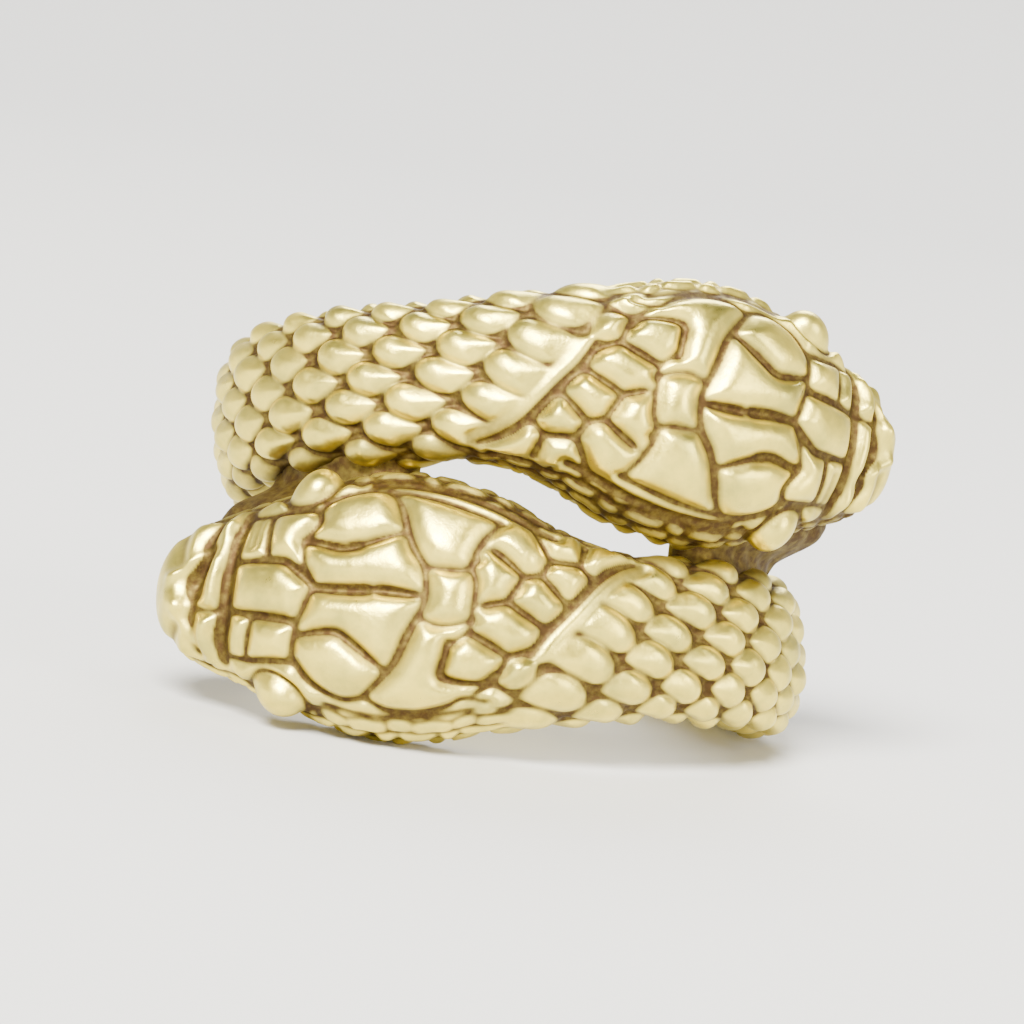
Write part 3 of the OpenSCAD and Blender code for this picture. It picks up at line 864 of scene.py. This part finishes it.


# Gold: pale yellow and softly worn, browned by patina and painted shade
gold = {
    "bright": (0.90, 0.73, 0.12, 1), "dull": (0.54, 0.46, 0.10, 1),
    # dark brown of patina, also used as painted shade
    "patinaAndShade": (0.065, 0.037, 0.014, 1),
    "roughness": (0.26, 0.44), "patinaShadeRoughness": 0.62,
    "patinaShadeFrom": 0.18, "patinaShadeTo": 0.85,      # from clean to full of patina and painted shade
    "uneven": 0.4,                           # how far blotches shift the edge of the patina and painted shade
    # blotches of the patina and painted shade, its grain, dull and worn patches, dents and pits: metres,
    # detail, roughness
    "blotch": (0.0022, 3.0, 0.55), "grain": (0.00035, 5.0, 0.6),
    "patch": (0.0014, 5.0, 0.55), "worn": (0.0008, 6.0, 0.65),
    "dent": (0.0009, 4.0, 0.6), "pit": (0.00022, 3.0, 0.55),
    # the part of each noise that shows
    "grainSpan": (0.3, 0.6), "patchSpan": (0.35, 0.7), "wornSpan": (0.3, 0.7),
    "grainLeast": 0.88,                      # share of the patina and painted shade left in its thin places
    "hairs": (400, 5200, 900), "hairsTurned": (0.4, 0.9, 0.6),   # hairline scratches: per metre, radians
    "hairDepth": 0.12, "pitDepth": 0.2,      # beside dents of 1
    "bump": 0.55, "bumpHeight": 0.00006,
}


def goldMaterial():
    material = bpy.data.materials.new("agedGold")
    material.use_nodes = True
    tree = material.node_tree
    tree.nodes.clear()

    def node(kind, **values):
        made = tree.nodes.new(kind)
        for key, value in values.items():
            if key in made.inputs:
                made.inputs[key].default_value = value
            else:
                setattr(made, key, value)
        return made

    def link(a, b):
        tree.links.new(a, b)

    out = node("ShaderNodeOutputMaterial")
    shader = node("ShaderNodeBsdfPrincipled", Metallic=1.0)
    link(shader.outputs["BSDF"], out.inputs["Surface"])
    place = node("ShaderNodeTexCoord").outputs["Object"]

    def noise(size, detail, rough):
        made = node("ShaderNodeTexNoise", Scale=1 / size, Detail=detail, Roughness=rough)
        link(place, made.inputs["Vector"])
        return made.outputs["Fac"]

    def remap(value, low, high, toLow=0.0, toHigh=1.0):
        made = node("ShaderNodeMapRange")
        made.inputs["From Min"].default_value = low
        made.inputs["From Max"].default_value = high
        made.inputs["To Min"].default_value = toLow
        made.inputs["To Max"].default_value = toHigh
        link(value, made.inputs["Value"])
        return made.outputs["Result"]

    def maths(kind, a, b):
        made = node("ShaderNodeMath", operation=kind)
        for k, value in enumerate((a, b)):
            if isinstance(value, (int, float)):
                made.inputs[k].default_value = value
            else:
                link(value, made.inputs[k])
        return made.outputs["Value"]

    def blend(a, b, amount):
        made = node("ShaderNodeMix", data_type="RGBA")
        link(amount, made.inputs["Factor"])
        for k, value in (("A", a), ("B", b)):
            socket = [i for i in made.inputs if i.name == k and i.type == "RGBA"][0]
            if isinstance(value, tuple):
                socket.default_value = value
            else:
                link(value, socket)
        return [o for o in made.outputs if o.type == "RGBA"][0]

    # patina and painted shade, from the colour attribute
    patinaShadeMask = node("ShaderNodeAttribute", attribute_name="patinaAndShade").outputs["Fac"]
    blotch = noise(*gold["blotch"])
    grain = noise(*gold["grain"])
    patinaShadeAmount = maths("ADD", patinaShadeMask, maths("MULTIPLY", maths("SUBTRACT", blotch, 0.5), gold["uneven"]))
    patinaShadeAmount = remap(patinaShadeAmount, gold["patinaShadeFrom"], gold["patinaShadeTo"])
    patinaShadeAmount = maths("MULTIPLY", patinaShadeAmount, remap(grain, *gold["grainSpan"], gold["grainLeast"]))
    colour = blend(gold["bright"], gold["dull"], remap(noise(*gold["patch"]), *gold["patchSpan"]))
    # dark brown over the gold: patina, and painted shade
    colour = blend(colour, gold["patinaAndShade"], patinaShadeAmount)
    link(colour, shader.inputs["Base Color"])

    # polished where it is clean, in patches
    rough = remap(noise(*gold["worn"]), *gold["wornSpan"], *gold["roughness"])
    clean = maths("MULTIPLY", rough, maths("SUBTRACT", 1.0, patinaShadeAmount))
    rough = maths("ADD", clean, maths("MULTIPLY", patinaShadeAmount, gold["patinaShadeRoughness"]))
    link(rough, shader.inputs["Roughness"])

    # hairline scratches, and the slight dents and pits of a casting
    stretch = node("ShaderNodeMapping")
    stretch.inputs["Scale"].default_value = gold["hairs"]
    stretch.inputs["Rotation"].default_value = gold["hairsTurned"]
    link(place, stretch.inputs["Vector"])
    hair = node("ShaderNodeTexNoise", Scale=1.0, Detail=2.0)
    link(stretch.outputs["Vector"], hair.inputs["Vector"])
    scratches = maths("MULTIPLY", hair.outputs["Fac"], gold["hairDepth"])
    height = maths("ADD", noise(*gold["dent"]), scratches)
    height = maths("ADD", height, maths("MULTIPLY", noise(*gold["pit"]), gold["pitDepth"]))
    bump = node("ShaderNodeBump", Strength=gold["bump"], Distance=gold["bumpHeight"])
    link(height, bump.inputs["Height"])
    link(bump.outputs["Normal"], shader.inputs["Normal"])
    return material


finish = goldMaterial()
for piece in snake + bridges:
    piece.data.materials.append(finish)
    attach(piece, "root")
    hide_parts("snake_ring")
print("gold on", len(snake + bridges), "pieces")


# Floor, light and camera
studio = {
    "flat": 0.5, "bend": 0.9, "wall": 0.9,     # a flat round floor that curves up into a wall, in metres
    "around": 96, "bendSteps": 24,
    "colour": (0.58, 0.575, 0.56, 1), "roughness": 0.8,
    "air": (0.90, 0.90, 0.88, 1), "airStrength": 0.36,
    "aim": (0, 0, 0.008),                      # where the lights point
}


def floorPiece():
    flat, bend, around = studio["flat"], studio["bend"], studio["around"]
    profile = [(flat, 0.0)]
    for step in range(1, studio["bendSteps"] + 1):
        a = step / studio["bendSteps"] * math.pi / 2
        profile.append((flat + bend * math.sin(a), bend * (1 - math.cos(a))))
    profile.append((flat + bend, bend + studio["wall"]))
    points, faces = [(0, 0, 0)], []
    turns = [k / around * 2 * math.pi for k in range(around)]
    for r, z in profile:
        points += [(r * math.cos(a), r * math.sin(a), z) for a in turns]
    for k in range(around):
        faces.append((0, 1 + k, 1 + (k + 1) % around))
    for j in range(len(profile) - 1):
        for k in range(around):
            a, b = 1 + j * around + k, 1 + j * around + (k + 1) % around
            faces.append((a, a + around, b + around, b))
    mesh = bpy.data.meshes.new("floor")
    mesh.from_pydata(points, [], faces)
    mesh.shade_smooth()
    piece = bpy.data.objects.new("floor", mesh)
    bpy.context.scene.collection.objects.link(piece)
    material = bpy.data.materials.new("paleFloor")
    material.use_nodes = True
    shader = material.node_tree.nodes["Principled BSDF"]
    shader.inputs["Base Color"].default_value = studio["colour"]
    shader.inputs["Roughness"].default_value = studio["roughness"]
    mesh.materials.append(material)


floorPiece()

# Light boxes: place in metres, size, watts and colour
lights = {
    "key": {"at": (-0.30, -0.62, 0.74), "size": 0.48, "power": 52.0, "colour": (1, 0.98, 0.93)},
    "fill": {"at": (0.62, -0.60, 0.35), "size": 0.55, "power": 7.0, "colour": (1, 0.97, 0.90)},
    "rim": {"at": (0.20, 0.62, 0.60), "size": 0.50, "power": 9.0, "colour": (0.97, 0.98, 1)},
}
for name, light in lights.items():
    data = bpy.data.lights.new(name, "AREA")
    data.shape = "DISK"
    data.size = light["size"]
    data.energy = light["power"]
    data.color = light["colour"]
    lamp = bpy.data.objects.new(name, data)
    lamp.location = light["at"]
    aim = Vector(studio["aim"]) - Vector(light["at"])
    lamp.rotation_euler = aim.to_track_quat("-Z", "Y").to_euler()
    bpy.context.scene.collection.objects.link(lamp)

world = bpy.data.worlds.new("studio")
world.use_nodes = True
air = world.node_tree.nodes["Background"]
air.inputs["Color"].default_value = studio["air"]
air.inputs["Strength"].default_value = studio["airStrength"]
bpy.context.scene.world = world
print("floor and", len(lights), "lights")

# Camera, set by the ring's own axis: it looks at the front, a little from the left and below
camera = {
    "azimuth": -10.0, "elevation": -7.2, "distance": 150.0,   # degrees and millimetres
    "picture": 1024.0,   # its width in pixels, in which the next two are given
    "focal": 3945.0,
    "centre": (506.0, 540.0),   # where the ring's own middle is seen
    "sensor": 36,        # millimetres
    "near": 0.005, "far": 5,
}


def cameraPiece():
    a, e = camera["azimuth"] * deg, camera["elevation"] * deg
    backward = np.array([math.sin(a) * math.cos(e), -math.cos(a) * math.cos(e), math.sin(e)])
    right = np.array([math.cos(a), math.sin(a), 0])
    up = np.cross(backward, right)
    picture, (centreX, centreY) = camera["picture"], camera["centre"]
    data = bpy.data.cameras.new("camera")
    data.sensor_width = camera["sensor"]
    data.lens = camera["focal"] / picture * data.sensor_width
    data.shift_x = (picture / 2 - centreX) / picture
    data.shift_y = (centreY - picture / 2) / picture
    data.clip_start, data.clip_end = camera["near"], camera["far"]
    eye = bpy.data.objects.new("camera", data)
    turned = laidDown @ np.stack([right, up, backward], -1)
    place = toRoom((backward * camera["distance"])[None])[0]
    matrix = Matrix(turned.tolist()).to_4x4()
    matrix.translation = Vector(place.tolist())
    eye.matrix_world = matrix
    bpy.context.scene.collection.objects.link(eye)
    bpy.context.scene.camera = eye


cameraPiece()
